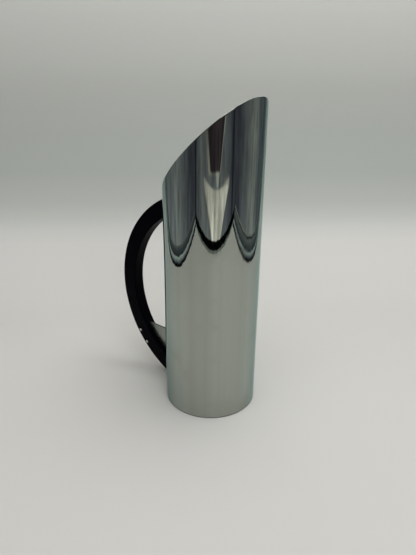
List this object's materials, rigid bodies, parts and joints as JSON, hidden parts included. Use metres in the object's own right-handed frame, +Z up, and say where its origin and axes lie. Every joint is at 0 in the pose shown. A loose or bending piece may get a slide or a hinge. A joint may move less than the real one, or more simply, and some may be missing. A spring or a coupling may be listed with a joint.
{
  "type": "slant-topped water pitcher",
  "caption": "Tall straight-sided polished steel water pitcher with a slanted open top that forms the spout and a flat black arched side handle.",
  "frame": {"origin": "the body's axis at the plane that the base stands on", "axes": "+Z up along the body's axis, +X towards the high pouring side of the rim, handle at -X, Y across the flat handle"},
  "size_m": [0.157, 0.089, 0.2916],
  "materials": {
    "polished_steel": "polished",
    "satin_steel": "satin",
    "black_handle": "satin"
  },
  "bodies": {
    "root": {"body_tube": "polished_steel", "base_disc": "polished_steel", "handle": "black_handle", "lower_bracket": "satin_steel", "upper_tang": "satin_steel", "bracket_pin_high": "satin_steel", "bracket_pin_low": "satin_steel", "tang_pin": "satin_steel"}
  },
  "joints": []
}
